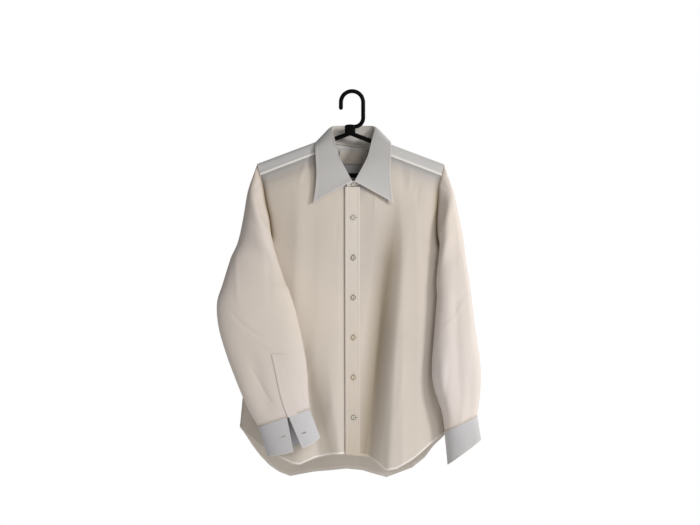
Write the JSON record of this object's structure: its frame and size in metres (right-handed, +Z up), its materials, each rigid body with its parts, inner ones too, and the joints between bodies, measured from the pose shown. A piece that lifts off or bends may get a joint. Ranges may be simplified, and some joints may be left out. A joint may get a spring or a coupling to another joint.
{
  "type": "long-sleeve shirt on a hanger",
  "caption": "Plain long-sleeve shirt with a long-point collar, yoke, front placket and buttoned cuffs, hanging closed on a tubular plastic hanger.",
  "frame": {"origin": "top of the space inside the hook, where the hanger hangs on a rail", "axes": "+Z up, -Y out of the shirt's front, +X towards the wearer's left side"},
  "size_m": [0.5905, 0.184, 0.8674],
  "materials": {
    "cloth": "thin plain-woven shirting, greyish beige, dull",
    "stiff_cloth": "the same shirting, doubled and interfaced, a little greyer",
    "shell": "polished pearl-like button material",
    "label": "blank woven label",
    "plastic": "moulded black plastic, slight gloss"
  },
  "bodies": {
    "root": {"back": "cloth", "yoke": "cloth", "front_right": "cloth", "front_left": "cloth", "front_placket": "cloth", "sleeve_right": "cloth", "sleeve_left": "cloth", "sleeve_placket_right": "cloth", "sleeve_placket_left": "cloth", "cuff_right": "stiff_cloth", "cuff_left": "stiff_cloth", "collar_stand": "stiff_cloth", "collar_fall": "stiff_cloth", "neck_label": "label", "button_1": "shell", "button_2": "shell", "button_3": "shell", "button_4": "shell", "button_5": "shell", "button_6": "shell", "collar_button": "shell", "hanger_hook": "plastic", "hanger_neck": "plastic", "hanger_arm_right": "plastic", "hanger_arm_left": "plastic", "hanger_bar": "plastic"}
  },
  "joints": []
}
